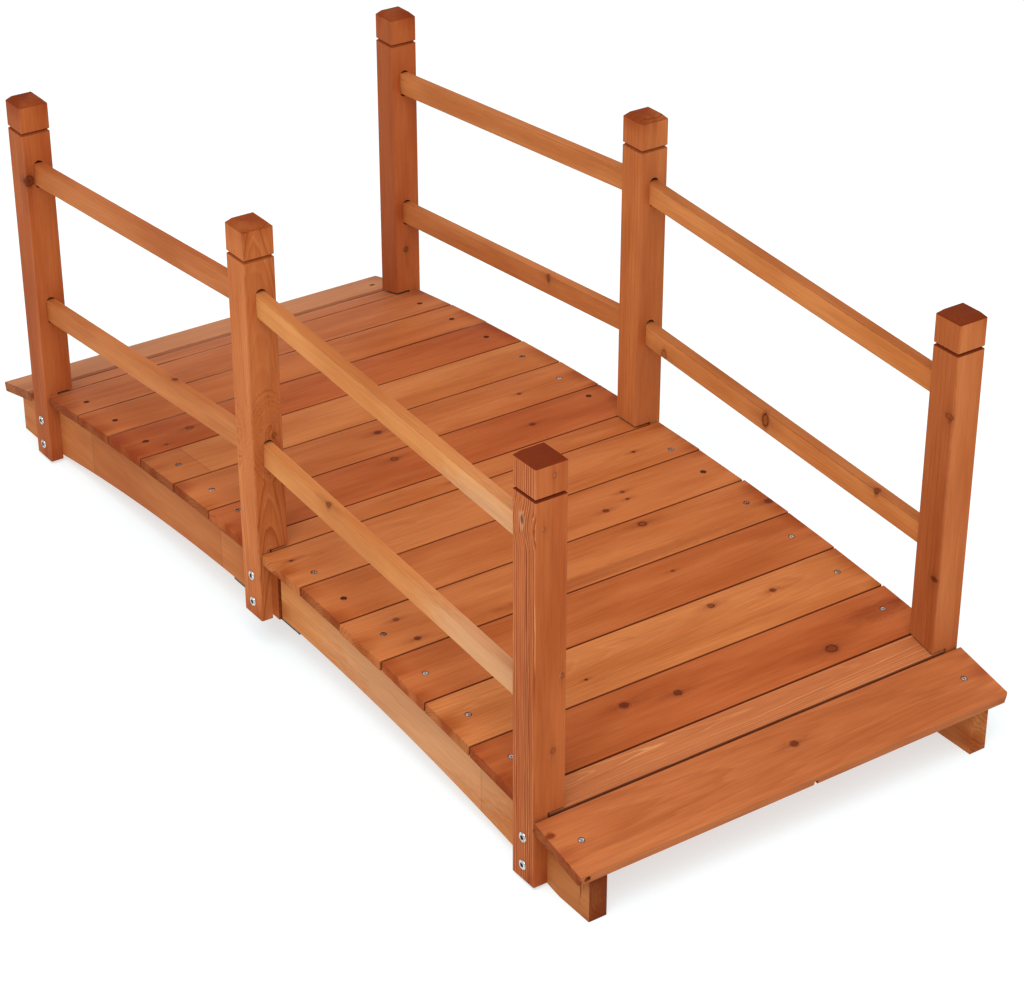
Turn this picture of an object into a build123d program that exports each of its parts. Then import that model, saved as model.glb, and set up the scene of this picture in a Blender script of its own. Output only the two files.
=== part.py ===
from build123d import *

import os
from math import atan2, cos, hypot, radians, sin, sqrt, tan

# A small arched garden bridge of stained softwood, in millimetres.
# +X runs along the walk to the front end, +Y to the right-hand side of
# someone walking from the front to the back, +Z up, with Z = 0 on the ground.

# Posts: six alike, a mortised and grooved square stick with a notched foot
post_width = 45.0
post_depth = 45.0
post_length = 582.0
posts_outer_width = 674.0
end_post_setback = 108.0
end_post_foot = 5.0
middle_post_foot = 50.0
tongue_thickness = 20.0
shoulder_gap = 3.0
post_edge = 1.0
cap_chamfer = 7.0
cap_height = 47.0
groove_height = 5.0
groove_depth = 3.0

# Side beams: each side is two arched halves that meet at a middle block
beam_length = 1500.0
beam_thickness = 26.0
beam_crown = 140.0
beam_top_fall = 39.5
arch_rise = 60.0
foot_length = 60.0
end_slope = 13.0

# Middle block and the steel plate under each beam joint
block_length = 80.0
block_proud = 3.0
block_gap = 3.0
plate_length = 176.0
plate_thickness = 3.0

# Deck: six planks on each half, a narrow board between each pair of posts
# and a tread across each end
planks_per_half = 6
board_thickness = 15.0
board_gap = 2.0
board_edge = 1.2
plank_inset = 2.5
post_board_clearance = 0.5
tread_width = 97.0
tread_gap = 0.3
tread_side_overhang = 3.0

# Rails: two on each side of each half, tenoned into the posts
rail_height = 33.0
rail_thickness = 15.0
rail_edge = 1.5
upper_rail_drop = 94.5
lower_rail_drop = 313.5
tenon_length = 18.0
tenon_end_clearance = 0.3
mortise_side_clearance = 0.5
mortise_head_gap = 4.0

# Worked out from the sizes above
half_post = post_width / 2
post_outer_y = posts_outer_width / 2
post_axis_y = post_outer_y - post_depth / 2
post_inner_y = post_outer_y - post_depth
beam_outer_y = post_outer_y - tongue_thickness
beam_inner_y = beam_outer_y - beam_thickness
block_outer_y = beam_outer_y + block_proud
beam_end_x = beam_length / 2
post_spacing = beam_end_x - end_post_setback
arch_end_x = beam_end_x - foot_length
block_end_x = block_length / 2
plate_end_x = plate_length / 2
first_seam_x = half_post + board_gap / 2
last_seam_x = post_spacing - half_post - board_gap / 2
plank_pitch = (last_seam_x - first_seam_x) / planks_per_half
crown_radius = (last_seam_x**2 + beam_top_fall**2) / (2 * beam_top_fall)
arch_radius = (arch_end_x**2 + arch_rise**2) / (2 * arch_rise)
seam_xs = [first_seam_x + i * plank_pitch for i in range(planks_per_half + 1)]

sides = {"left": -1, "right": 1}
ends = {"front": 1, "back": -1}
stations = {"front": 1, "middle": 0, "back": -1}
rail_drops = {"upper": upper_rail_drop, "lower": lower_rail_drop}


def crown_z(x):
    """Height of the arc that the plank seams lie on, at the beam's top."""
    return beam_crown - crown_radius + sqrt(crown_radius**2 - x**2)


def arch_z(x):
    """Height of the beam's arched underside."""
    return arch_rise - arch_radius + sqrt(arch_radius**2 - x**2)


def seat_z(x):
    """Height of the beam's top: flats between the seams, then a sloped end."""
    x = abs(x)
    if x <= first_seam_x:
        return crown_z(first_seam_x)
    if x >= last_seam_x:
        return crown_z(last_seam_x) - (x - last_seam_x) * tan(radians(end_slope))
    flat = min(int((x - first_seam_x) / plank_pitch), planks_per_half - 1)
    near_x = seam_xs[flat]
    far_x = seam_xs[flat + 1]
    share = (x - near_x) / (far_x - near_x)
    return crown_z(near_x) + share * (crown_z(far_x) - crown_z(near_x))


def seat_line(x_from, x_to):
    """Corners of the beam's top between two places on one half."""
    between = [x for x in seam_xs if x_from < x < x_to]
    return [(x, seat_z(x)) for x in [x_from, *between, x_to]]


def finish(piece, name):
    """Name a finished piece and write it as a file of its own."""
    piece.part.label = name
    export_step(piece.part, f"parts/{name}.step")


os.makedirs("parts", exist_ok=True)
plate_top_z = arch_z(plate_end_x)
plate_bottom_z = plate_top_z - plate_thickness
joint_x = block_end_x + block_gap


# Side beams. The profile is drawn for the front half and turned for the back:
# flats on top for the planks, an arch below, a level foot at the end and a
# level seat over the steel plate.
for side, across in sides.items():
    for end, along in ends.items():
        beam_plane = Plane(
            origin=(0, across * beam_inner_y, 0),
            x_dir=(along, 0, 0),
            z_dir=(0, -along, 0),
        )
        outward = -across * along * beam_thickness
        arch_middle_x = (arch_end_x + plate_end_x) / 2
        with BuildPart() as beam:
            with BuildSketch(beam_plane):
                with BuildLine():
                    top = Polyline(*seat_line(joint_x, beam_end_x))
                    foot = Polyline(top @ 1, (beam_end_x, 0), (arch_end_x, 0))
                    arch = ThreePointArc(
                        foot @ 1,
                        (arch_middle_x, arch_z(arch_middle_x)),
                        (plate_end_x, plate_top_z),
                    )
                    Polyline(arch @ 1, (joint_x, plate_top_z), top @ 0)
                make_face()
            extrude(amount=outward)
        finish(beam, f"{end}_{side}_beam")


# Middle blocks that the halves meet at. The body of a block is as thick as the
# beams, and its proud outer layer reaches down over the edge of the steel plate.
for side, across in sides.items():
    block_top = seat_line(first_seam_x, block_end_x)
    block_mirror = [(-x, z) for x, z in reversed(block_top)]
    layers = [
        (beam_inner_y, beam_thickness, plate_top_z),
        (beam_outer_y, block_proud, plate_bottom_z),
    ]
    with BuildPart() as block:
        for layer_y, thickness, bottom_z in layers:
            with BuildSketch(Plane.XZ.offset(-across * layer_y)):
                with BuildLine():
                    Polyline(
                        (block_end_x, bottom_z),
                        *reversed(block_top),
                        *reversed(block_mirror),
                        (-block_end_x, bottom_z),
                        close=True,
                    )
                make_face()
            extrude(amount=-across * thickness)
    finish(block, f"middle_{side}_block")


# Steel plates under the joints
for side, across in sides.items():
    plate_middle_y = across * (beam_outer_y + beam_inner_y) / 2
    with BuildPart() as plate:
        with BuildSketch(Plane.XY.offset(plate_top_z)):
            with Locations((0, plate_middle_y)):
                Rectangle(plate_length, beam_thickness)
        extrude(amount=-plate_thickness)
    finish(plate, f"{side}_joint_plate")


def board_plane(x_one, x_other):
    """Plane across the walk, on the middle of a seat, with +Y square to it."""
    x_from = min(x_one, x_other)
    x_to = max(x_one, x_other)
    run = x_to - x_from
    fall = seat_z(x_to) - seat_z(x_from)
    middle = ((x_from + x_to) / 2, 0, (seat_z(x_from) + seat_z(x_to)) / 2)
    return Plane(origin=middle, x_dir=(run, 0, fall), z_dir=(0, -1, 0))


def lay_board(name, plane, width, length):
    """One flat board on its seat, with its upper edges eased."""
    with BuildPart() as board:
        with BuildSketch(plane):
            Rectangle(width, board_thickness, align=(Align.CENTER, Align.MIN))
        extrude(amount=length / 2, both=True)
        upper_face = board.faces().sort_by(Axis.Z)[-1]
        chamfer(upper_face.edges(), length=board_edge)
    finish(board, name)


# Deck planks, numbered from the end of the bridge to its middle
plank_length = 2 * (post_outer_y - plank_inset)
for end, along in ends.items():
    for i in range(planks_per_half):
        inner_x = seam_xs[i]
        outer_x = seam_xs[i + 1]
        seat_length = hypot(outer_x - inner_x, seat_z(outer_x) - seat_z(inner_x))
        plane = board_plane(along * inner_x, along * outer_x)
        name = f"{end}_plank_{planks_per_half - i}"
        lay_board(name, plane, seat_length - board_gap, plank_length)


# Narrow boards between the posts, under the posts' shoulders. On the sloped ends
# the upper edge, which leans out, is in line with the posts' faces.
post_board_length = 2 * (beam_outer_y - post_board_clearance)
middle_board_length = 2 * (block_outer_y - post_board_clearance)
slope_cos = cos(radians(end_slope))
board_lean = board_thickness * sin(radians(end_slope))
lay_board("middle_post_board", board_plane(-half_post, half_post), post_width, middle_board_length)
for end, along in ends.items():
    outer_x = post_spacing + half_post - board_lean
    plane = board_plane(along * last_seam_x, along * outer_x)
    width = (outer_x - last_seam_x) / slope_cos
    lay_board(f"{end}_post_board", plane, width, post_board_length)


# Treads on the sloped ends of the beams
tread_length = posts_outer_width + 2 * tread_side_overhang
for end, along in ends.items():
    inner_x = along * (post_spacing + half_post + tread_gap)
    outer_x = inner_x + along * tread_width * slope_cos
    plane = board_plane(inner_x, outer_x)
    lay_board(f"{end}_tread", plane, tread_width, tread_length)


# Rails fall from the middle posts to the end posts
rail_run = post_spacing - post_width
rail_fall = middle_post_foot - end_post_foot
rail_pitch = rail_fall / rail_run
rail_tilt = atan2(rail_fall, rail_run)
rail_tall = rail_height / cos(rail_tilt)
tenon_rise = tenon_length * rail_pitch


def rail_top_z(x, drop):
    """Height of a rail's upper edge at a place on the front half."""
    return middle_post_foot + post_length - drop - (x - half_post) * rail_pitch


for side, across in sides.items():
    for end, along in ends.items():
        for level, drop in rail_drops.items():
            inner_x = half_post - tenon_length
            outer_x = post_spacing - half_post + tenon_length
            rail_plane = Plane(
                origin=(0, across * post_axis_y, 0),
                x_dir=(along, 0, 0),
                z_dir=(0, -along, 0),
            )
            with BuildPart() as rail:
                with BuildSketch(rail_plane):
                    with BuildLine():
                        Polyline(
                            (inner_x, rail_top_z(inner_x, drop)),
                            (outer_x, rail_top_z(outer_x, drop)),
                            (outer_x, rail_top_z(outer_x, drop) - rail_tall),
                            (inner_x, rail_top_z(inner_x, drop) - rail_tall),
                            close=True,
                        )
                    make_face()
                extrude(amount=rail_thickness / 2, both=True)
                long_edges = rail.edges().group_by(SortBy.LENGTH)[-1]
                fillet(long_edges, radius=rail_edge)
            finish(rail, f"{end}_{side}_{level}_rail")


# Posts
mortise_width = rail_thickness + 2 * mortise_side_clearance
mortise_depth = tenon_length + tenon_end_clearance
mortise_height = rail_tall + tenon_rise + 2 * mortise_head_gap
groove_side = groove_height / 2


def shoulder_points(station_x):
    """Line of a post's inner shoulder, just over the board that runs below it."""
    rise = board_thickness / slope_cos if station_x else board_thickness
    line = []
    for x in (station_x - half_post, station_x + half_post):
        line.append((x, seat_z(x) + rise + shoulder_gap))
    return line


def mortise_faces(along):
    """Faces of a post that rails enter: both of a middle post, one of an end post."""
    if along == 0:
        return [1, -1]
    return [-along]


for side, across in sides.items():
    for station, along in stations.items():
        station_x = along * post_spacing
        foot_z = end_post_foot if along else middle_post_foot
        top_z = foot_z + post_length
        groove_z = top_z - cap_height
        notch_y = beam_outer_y if along else block_outer_y
        shoulder = shoulder_points(station_x)
        with BuildPart() as post:
            with BuildSketch(Plane.XY.offset(foot_z)):
                with Locations((station_x, across * post_axis_y)):
                    Rectangle(post_width, post_depth)
            extrude(amount=post_length)
            chamfer(post.faces().sort_by(Axis.Z)[-1].edges(), length=cap_chamfer)
            chamfer(post.edges().filter_by(Axis.Z), length=post_edge)

            # V-groove under the cap, cut along both pairs of faces
            with BuildSketch(Plane.XZ.offset(-across * post_axis_y)):
                for face in (1, -1):
                    face_x = station_x + face * half_post
                    with BuildLine():
                        Polyline(
                            (face_x, groove_z + groove_side),
                            (face_x, groove_z - groove_side),
                            (face_x - face * groove_depth, groove_z),
                            close=True,
                        )
                    make_face()
            extrude(amount=post_depth, both=True, mode=Mode.SUBTRACT)
            with BuildSketch(Plane.YZ.offset(station_x)):
                for face_y in (across * post_outer_y, across * post_inner_y):
                    inward = 1 if face_y < across * post_axis_y else -1
                    with BuildLine():
                        Polyline(
                            (face_y, groove_z + groove_side),
                            (face_y, groove_z - groove_side),
                            (face_y + inward * groove_depth, groove_z),
                            close=True,
                        )
                    make_face()
            extrude(amount=post_width, both=True, mode=Mode.SUBTRACT)

            # Notch that leaves a tongue down the outside of the beam
            with BuildSketch(Plane.XZ.offset(-across * notch_y)):
                with BuildLine():
                    Polyline(
                        *shoulder,
                        (station_x + half_post, foot_z),
                        (station_x - half_post, foot_z),
                        close=True,
                    )
                make_face()
            extrude(amount=across * post_depth, mode=Mode.SUBTRACT)

            # Round-ended mortises for the rails
            for face in mortise_faces(along):
                face_x = station_x + face * half_post
                for drop in rail_drops.values():
                    high_x = half_post - tenon_length if along == 0 else abs(face_x)
                    slot_top = rail_top_z(high_x, drop) + mortise_head_gap
                    slot_z = slot_top - mortise_height / 2
                    with BuildSketch(Plane.YZ.offset(face_x)):
                        with Locations((across * post_axis_y, slot_z)):
                            SlotOverall(mortise_height, mortise_width, rotation=90)
                    extrude(amount=-face * mortise_depth, mode=Mode.SUBTRACT)
        finish(post, f"{station}_{side}_post")
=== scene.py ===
# %% [markdown]
# # Dressing a small arched garden bridge
#
# The bridge is stained softwood: boards on two arched beams, six posts, eight rails, and bright metal
# heads where it is bolted and screwed together. Every wooden piece arrives at its real size and place in
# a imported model. This lesson gives each piece its own grain, knots and stain, and adds the metal heads.
# It works in metres, with the walk along X, the boards across Y and the ground at Z = 0.

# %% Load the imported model
import math
import random

import bpy
import bmesh
from mathutils import Matrix, Vector


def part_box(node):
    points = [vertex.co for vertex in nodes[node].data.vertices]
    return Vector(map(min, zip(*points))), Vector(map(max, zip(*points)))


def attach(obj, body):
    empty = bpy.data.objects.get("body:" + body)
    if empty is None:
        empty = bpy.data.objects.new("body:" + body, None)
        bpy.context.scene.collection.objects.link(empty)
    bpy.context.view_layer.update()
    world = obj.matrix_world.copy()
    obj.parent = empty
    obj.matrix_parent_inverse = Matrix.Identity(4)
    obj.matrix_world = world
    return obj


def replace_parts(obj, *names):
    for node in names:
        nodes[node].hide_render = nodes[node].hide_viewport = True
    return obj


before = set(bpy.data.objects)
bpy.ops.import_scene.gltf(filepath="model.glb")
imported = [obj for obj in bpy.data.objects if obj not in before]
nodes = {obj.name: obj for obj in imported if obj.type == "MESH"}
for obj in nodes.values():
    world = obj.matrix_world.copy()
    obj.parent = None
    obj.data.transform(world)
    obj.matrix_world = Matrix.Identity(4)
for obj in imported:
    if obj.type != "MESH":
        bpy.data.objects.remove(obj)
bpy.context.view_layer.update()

# %% [markdown]
# ## Camera
#
# The photograph looks down on the front left corner through a long lens. Its posts stand upright because
# the picture was straightened afterwards. A lens shift could do the same here, but every other view would
# then slide off centre, so this camera is only moved and turned, and its posts spread a little.

# %% Camera
lens_mm = 98.4
camera_place = Vector((2.861, -1.886, 2.083))
camera_turn = math.radians(55.36)
camera_dip = math.radians(29.76)


def direction(turn, rise):
    """A unit vector: turn goes round from -Y towards +X, and rise goes up from level."""
    return Vector((math.sin(turn) * math.cos(rise), -math.cos(turn) * math.cos(rise), math.sin(rise)))


def link(thing):
    """Puts a new object into the scene."""
    bpy.context.scene.collection.objects.link(thing)
    return thing


camera = link(bpy.data.objects.new("view_camera", bpy.data.cameras.new("view_camera")))
camera.data.lens = lens_mm
camera.location = camera_place
camera.rotation_euler = (-direction(camera_turn, camera_dip)).to_track_quat("-Z", "Y").to_euler()
bpy.context.scene.camera = camera
print(f"camera {camera_place.length:.2f} m from the middle of the bridge")

# %% [markdown]
# ## Light
#
# The real bridge stands in a white studio, where light comes evenly from all sides. Several lamps could
# imitate that, but each would cast a shadow of its own. A bright, even world does it with none, and one
# wide lamp above the camera's left shoulder adds just enough direction to tell the faces of a post apart.
# The plain Standard view keeps the stain as saturated as it is typed.

# %% Light
white = (1.0, 1.0, 1.0, 1.0)
world_strength = 0.80
lamp_size = 3.5
lamp_power = 160.0
lamp_distance = 5.0
lamp_turn = math.radians(46.0)
lamp_rise = math.radians(57.0)
lamp_place = direction(lamp_turn, lamp_rise) * lamp_distance

bpy.context.scene.view_settings.view_transform = "Standard"
world = bpy.data.worlds.new("studio")
world.use_nodes = True
background = world.node_tree.nodes["Background"]
background.inputs["Color"].default_value = white
background.inputs["Strength"].default_value = world_strength
bpy.context.scene.world = world

lamp = link(bpy.data.objects.new("soft_lamp", bpy.data.lights.new("soft_lamp", "AREA")))
lamp.data.size = lamp_size
lamp.data.energy = lamp_power
lamp.location = lamp_place
lamp.rotation_euler = (-lamp_place).to_track_quat("-Z", "Y").to_euler()
print(f"lamp {lamp_size} m wide and {lamp_distance:.0f} m away, world at {world_strength}")

# %% [markdown]
# ## Floor
#
# Under the real bridge lies a white sweep with a pale grey shadow. A plain white floor would go dark under
# the arch, so this one glows a little, as a lit sweep does. Its paint is slightly blue, which cancels the
# orange light that the wood throws down.

# %% Floor
floor_radius = 14.0
floor_sides = 128
floor_grey = (0.38, 0.46, 0.47, 1.0)
floor_glow = 0.62
floor_roughness = 0.9
floor_shine = 0.1

floor_mesh = bpy.data.meshes.new("studio_floor")
disc = bmesh.new()
bmesh.ops.create_circle(disc, cap_ends=True, segments=floor_sides, radius=floor_radius)
disc.to_mesh(floor_mesh)
disc.free()
floor_paint = bpy.data.materials.new("studio_floor")
floor_paint.use_nodes = True
floor_shader = floor_paint.node_tree.nodes["Principled BSDF"]
floor_shader.inputs["Base Color"].default_value = floor_grey
floor_shader.inputs["Emission Color"].default_value = white
floor_shader.inputs["Emission Strength"].default_value = floor_glow
floor_shader.inputs["Roughness"].default_value = floor_roughness
floor_shader.inputs["Specular IOR Level"].default_value = floor_shine
floor_mesh.materials.append(floor_paint)
floor = link(bpy.data.objects.new("studio_floor", floor_mesh))
print(f"floor {2 * floor_radius:.0f} m across")

# %% [markdown]
# ## Writing node trees
#
# A wood finish takes dozens of small nodes. Placing each by hand hides the idea behind the wiring, so a
# few helpers let a node tree be written like a sum. Most take plain values or sockets, and return the
# socket that holds the answer. Three more start a shared node group, start a material and add a bump.


# %% Node helpers
class Wiring:
    """Writes nodes into one node tree."""

    def __init__(self, tree):
        self.tree = tree

    def node(self, kind, **settings):
        made = self.tree.nodes.new(kind)
        for setting, value in settings.items():
            setattr(made, setting, value)
        return made

    def feed(self, socket, value):
        if isinstance(value, bpy.types.NodeSocket):
            self.tree.links.new(value, socket)
        else:
            socket.default_value = value

    def math(self, operation, *values):
        made = self.node("ShaderNodeMath", operation=operation)
        for socket, value in zip(made.inputs, values):
            self.feed(socket, value)
        return made.outputs[0]

    def times(self, one, other):
        return self.math("MULTIPLY", one, other)

    def vector(self, operation, *values):
        made = self.node("ShaderNodeVectorMath", operation=operation)
        for socket, value in zip(made.inputs, values):
            self.feed(socket, value)
        return made.outputs["Value" if operation in ("LENGTH", "DOT_PRODUCT") else "Vector"]

    def split(self, vector):
        made = self.node("ShaderNodeSeparateXYZ")
        self.feed(made.inputs[0], vector)
        return made.outputs

    def joined(self, *values):
        made = self.node("ShaderNodeCombineXYZ")
        for socket, value in zip(made.inputs, values):
            self.feed(socket, value)
        return made.outputs[0]

    def fade(self, value, start, end, low=0.0, high=1.0):
        """Goes smoothly from low, where value is start, to high, where it is end."""
        made = self.node("ShaderNodeMapRange", interpolation_type="SMOOTHSTEP")
        for socket, number in zip(made.inputs, (value, start, end, low, high)):
            self.feed(socket, number)
        return made.outputs[0]

    def noise(self, place, waves, detail):
        """Noise from 0 to 1, with that many waves to the metre along each direction."""
        made = self.node("ShaderNodeTexNoise")
        self.feed(made.inputs["Vector"], self.vector("MULTIPLY", place, waves))
        self.feed(made.inputs["Scale"], 1.0)
        self.feed(made.inputs["Detail"], detail)
        return made.outputs[0]

    def wobble(self, place, waves, detail):
        """Noise that goes as far below 0 as above it."""
        return self.math("SUBTRACT", self.noise(place, waves, detail), 0.5)

    def paint(self, factor, under, over, mode="MIX"):
        made = self.node("ShaderNodeMix", data_type="RGBA", blend_type=mode)
        self.feed(made.inputs[0], factor)
        self.feed(made.inputs[6], under)
        self.feed(made.inputs[7], over)
        return made.outputs[2]

    def group(self, name, values):
        """Places a node group and sets or links its inputs by their names."""
        made = self.node("ShaderNodeGroup", node_tree=bpy.data.node_groups[name])
        for label, value in values.items():
            self.feed(made.inputs[label], value)
        return made.outputs


print("node helpers ready")


# %% Group and material helpers
def new_group(name, vectors, values, colours, outputs):
    """Starts a shader node group: its wiring, the sockets that come in and the sockets that go out."""
    tree = bpy.data.node_groups.new(name, "ShaderNodeTree")
    kinds = {"value": "NodeSocketFloat", "vector": "NodeSocketVector", "colour": "NodeSocketColor"}
    for labels, kind in ((vectors, "vector"), (values, "value"), (colours, "colour")):
        for label in labels:
            tree.interface.new_socket(label, in_out="INPUT", socket_type=kinds[kind])
    for label, kind in outputs.items():
        tree.interface.new_socket(label, in_out="OUTPUT", socket_type=kinds[kind])
    given = tree.nodes.new("NodeGroupInput").outputs
    wanted = tree.nodes.new("NodeGroupOutput").inputs
    return Wiring(tree), given, wanted


def new_material(name):
    """Starts a material: itself, its wiring and its shader."""
    material = bpy.data.materials.new(name)
    material.use_nodes = True
    return material, Wiring(material.node_tree), material.node_tree.nodes["Principled BSDF"]


def add_bump(wiring, shader, height, strength, distance):
    """Lets a height tilt the shader's normal."""
    bump = wiring.node("ShaderNodeBump")
    bump.inputs["Strength"].default_value = strength
    bump.inputs["Distance"].default_value = distance
    wiring.feed(bump.inputs["Height"], height)
    wiring.feed(shader.inputs["Normal"], bump.outputs[0])


print("group and material helpers ready")

# %% [markdown]
# ## Where a point lies in its own piece of timber
#
# Grain follows the piece, not the room: it runs along a tilted rail as it does along a level board. An
# unwrapped texture could follow too, but its seams would show. So the first group turns a point of the
# surface into three distances in the piece's own directions, along the grain, across it and up, and does
# the same for the way the surface faces. It also finds end grain, which is wherever a face looks along
# the grain, such as the top of a post or the sawn end of a board.

# %% Group: piece place
end_grain_range = (0.52, 0.66)
axis_labels = ("Along", "Across", "Up")
wiring, given, wanted = new_group(
    "piece_place", ("Centre", *axis_labels), (), (),
    {"Place": "vector", "Facing": "vector", "End Grain": "value"})
surface = wiring.node("ShaderNodeTexCoord").outputs
offset = wiring.vector("SUBTRACT", surface["Object"], given["Centre"])
for label, turned in (("Place", offset), ("Facing", surface["Normal"])):
    parts = [wiring.vector("DOT_PRODUCT", turned, given[axis]) for axis in axis_labels]
    wiring.feed(wanted[label], wiring.joined(*parts))
endwise = wiring.math("ABSOLUTE", wiring.vector("DOT_PRODUCT", surface["Normal"], given["Along"]))
wiring.feed(wanted["End Grain"], wiring.fade(endwise, *end_grain_range))
print("piece_place made")

# %% [markdown]
# ## Growth rings
#
# A tree grows a sleeve of wood each year, so a board is a slice through many nested tubes. Painting
# arches on the face would be quick, but they would not meet the lines on the edges. Here the tubes are
# real: each point's distance from the tree's heart is measured, and the late, dense wood of every year
# falls where that distance is a whole number of rings. Cathedral arches, straight stripes and the arcs on
# a sawn end then all come from where the heart lay. Slow noise bends the tubes as a real trunk does, and
# fine streaks fray their edges, so that no line looks drawn. Where the saw ran along a ring the face
# shows one year's smooth wood, so there the lines can be faded.

# %% Group: growth rings, distance from the heart
ring_inputs = ("Seed", "Heart Across", "Heart Below", "Heart Lean", "Ring Width", "Waver", "Fray",
               "Face Fade")
slow_waves = (2.2, 9.0, 9.0)
quick_waves = (16.0, 70.0, 70.0)
smooth_detail = 2.0
quick_share = 0.12
flat_sawn_range = (0.86, 0.98)
wiring, given, wanted = new_group(
    "growth_rings", ("Place", "Facing"), (*ring_inputs, "Push"), (),
    {"Late Wood": "value", "Ridge": "value", "Fibre": "value", "Cloud": "value", "Streak": "value"})
spot = wiring.vector("ADD", given["Place"], given["Seed"])
along, across, up = wiring.split(given["Place"])
slow_bend = wiring.wobble(spot, slow_waves, smooth_detail)
quick_bend = wiring.wobble(spot, quick_waves, smooth_detail)
bend = wiring.math("MULTIPLY_ADD", quick_bend, quick_share, slow_bend)
heart_depth = wiring.math("MULTIPLY_ADD", along, given["Heart Lean"], given["Heart Below"])
side = wiring.math("SUBTRACT", across, given["Heart Across"])
depth = wiring.math("ADD", up, heart_depth)
reach = wiring.math("SQRT", wiring.math("MULTIPLY_ADD", side, side, wiring.times(depth, depth)))
outward = wiring.vector("NORMALIZE", wiring.joined(0.0, side, depth))
squarely = wiring.math("ABSOLUTE", wiring.vector("DOT_PRODUCT", outward, given["Facing"]))
faded = wiring.times(wiring.fade(squarely, *flat_sawn_range), given["Face Fade"])
reach = wiring.math("MULTIPLY_ADD", bend, given["Waver"], wiring.math("ADD", reach, given["Push"]))
print("distance from the heart measured")

# %% Group: growth rings, the years
streak_waves = (5.5, 90.0, 90.0)
fibre_waves = (16.0, 480.0, 480.0)
cloud_waves = (4.2, 21.0, 21.0)
fine_detail = 3.0
year_range = (0.15, 1.0, 0.15, 1.0)
late_rise = (0.40, 0.90)
late_fall = (1.0, 0.93)
ridge_season = 0.10
ridge_range = (0.11, 0.02)
streak = wiring.noise(spot, streak_waves, fine_detail)
years = wiring.math("DIVIDE", reach, given["Ring Width"])
years = wiring.math("MULTIPLY_ADD", wiring.math("SUBTRACT", streak, 0.5), given["Fray"], years)
season = wiring.math("FRACT", years)
chance = wiring.node("ShaderNodeTexWhiteNoise", noise_dimensions="1D")
wiring.feed(chance.inputs["W"], wiring.math("FLOOR", years))
shown = wiring.math("SUBTRACT", 1.0, faded)
year_strength = wiring.times(wiring.fade(chance.outputs["Value"], *year_range), shown)
late = wiring.times(wiring.fade(season, *late_rise), wiring.fade(season, *late_fall))
ridge_gap = wiring.math("ABSOLUTE", wiring.math("SUBTRACT", season, ridge_season))
wiring.feed(wanted["Late Wood"], wiring.times(late, year_strength))
wiring.feed(wanted["Ridge"], wiring.times(wiring.fade(ridge_gap, *ridge_range), year_strength))
wiring.feed(wanted["Fibre"], wiring.noise(spot, fibre_waves, fine_detail))
wiring.feed(wanted["Cloud"], wiring.noise(spot, cloud_waves, fine_detail))
wiring.feed(wanted["Streak"], streak)
print("growth_rings made")

# %% [markdown]
# ## Knots
#
# A knot is a branch that the trunk grew round. It shows as a red-brown oval with a darker rim of bark, and
# the rings beside it swerve. A dark disc laid on the board would miss that swerve. This group measures how
# far a point is from the branch, counted in the branch's own radius, and hands on a mask for the bark, one
# for the red wood and a push for the growth rings. Each knot takes in what the one before it found, so a
# board can hold as many as it needs.

# %% Group: knot
knot_waves = (300.0, 420.0, 420.0)
knot_shape = (0.8, 1.0, 0.5)
wing_shape = (0.24, 1.0, 0.5)
knot_rough, wing_rough = 0.7, 1.4
rim_inside, rim_outside = (0.66, 0.92), (1.32, 1.0)
rim_dark = 0.95
core_range = (1.05, 0.45)
wing_bark_range = (1.25, 0.3, 0.0, 0.18)
red_range = (2.6, 0.9)
wing_red_range = (3.0, 0.5, 0.0, 0.45)
swerve_range = (5.0, 0.5)
wiring, given, wanted = new_group(
    "knot", ("Place", "Centre"),
    ("Radius", "Open", "Strength", "Swerve", "Bark Before", "Red Before", "Push Before"), (),
    {"Bark": "value", "Red": "value", "Push": "value"})
offset = wiring.vector("SUBTRACT", given["Place"], given["Centre"])
rough = wiring.wobble(given["Place"], knot_waves, fine_detail)
round_way = wiring.vector("LENGTH", wiring.vector("MULTIPLY", offset, knot_shape))
near = wiring.math("MULTIPLY_ADD", rough, knot_rough, wiring.math("DIVIDE", round_way, given["Radius"]))
long_way = wiring.vector("LENGTH", wiring.vector("MULTIPLY", offset, wing_shape))
wing = wiring.math("MULTIPLY_ADD", rough, wing_rough, wiring.math("DIVIDE", long_way, given["Radius"]))
rim = wiring.times(wiring.fade(near, *rim_inside), wiring.fade(near, *rim_outside))
core = wiring.times(wiring.fade(near, *core_range), wiring.math("SUBTRACT", 1.0, given["Open"]))
bark = wiring.math("MAXIMUM", wiring.times(rim, rim_dark), core)
bark = wiring.math("MAXIMUM", bark, wiring.fade(wing, *wing_bark_range))
red = wiring.math("MAXIMUM", wiring.fade(near, *red_range), wiring.fade(wing, *wing_red_range))
push = wiring.times(wiring.fade(near, *swerve_range), given["Swerve"])
for label, mask in (("Bark", bark), ("Red", red)):
    stronger = wiring.math("MAXIMUM", wiring.times(mask, given["Strength"]), given[label + " Before"])
    wiring.feed(wanted[label], stronger)
wiring.feed(wanted["Push"], wiring.math("ADD", push, given["Push Before"]))
print("knot made")
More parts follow.
